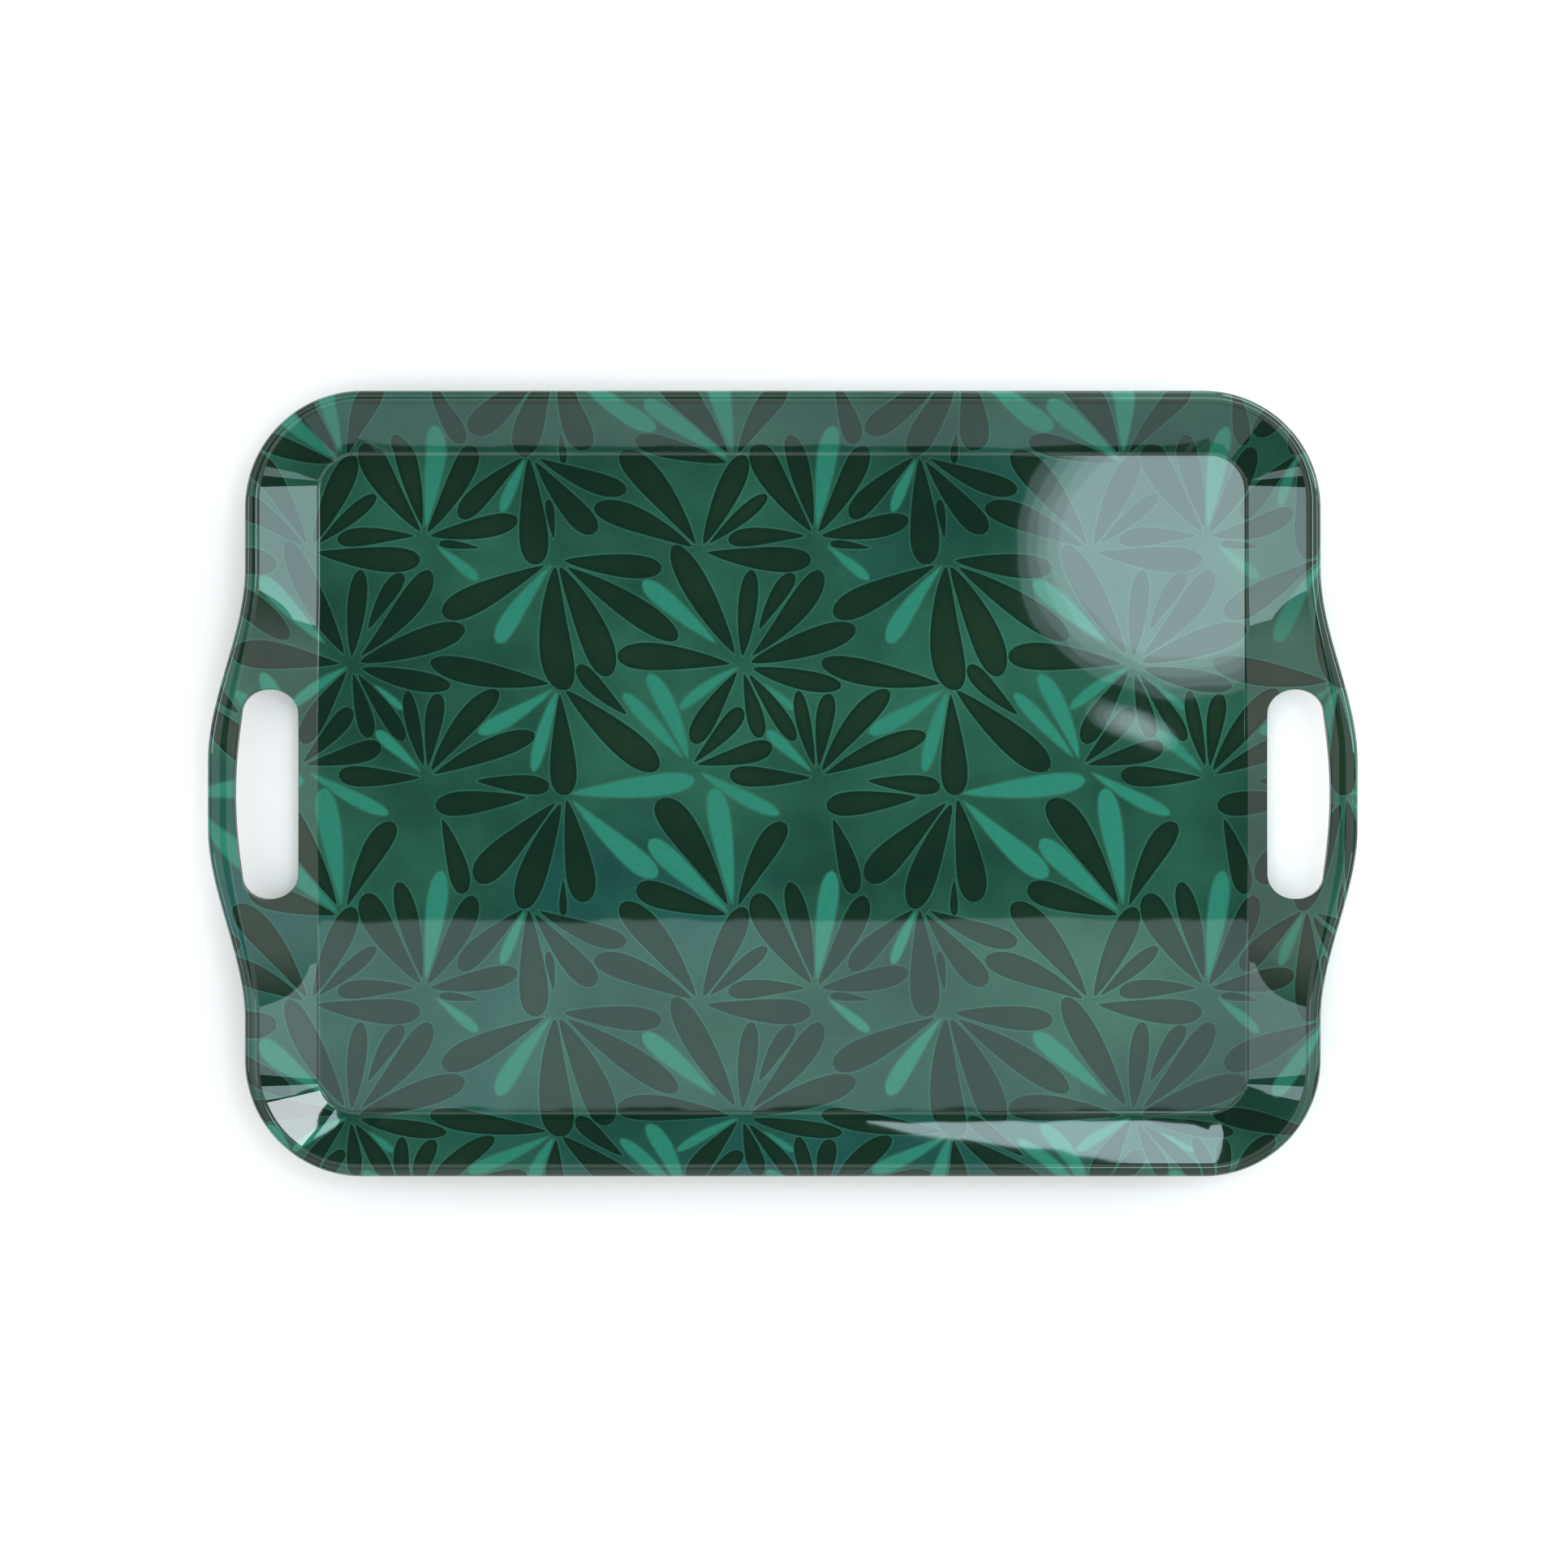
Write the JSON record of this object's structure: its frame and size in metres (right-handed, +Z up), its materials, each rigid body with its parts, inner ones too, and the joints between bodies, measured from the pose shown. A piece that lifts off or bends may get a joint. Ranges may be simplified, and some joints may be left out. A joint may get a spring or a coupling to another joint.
{
  "type": "serving tray",
  "caption": "Shallow oblong serving tray with rounded corners, a rolled rim and a finger slot through the wall at each end.",
  "frame": {"origin": "middle of the tray's outline, on the plane that the foot ring stands on", "axes": "+X along the length from handle to handle, +Y across the width, +Z up out of the open side"},
  "size_m": [0.48, 0.328, 0.025],
  "materials": {
    "body": "dark green moulded melamine, glossy",
    "print": "all-over leaf print in greens",
    "glaze": "clear gloss melamine glaze"
  },
  "bodies": {
    "root": {"moulded_body": "body", "printed_foil": "print", "glaze_coat": "glaze"}
  },
  "joints": []
}
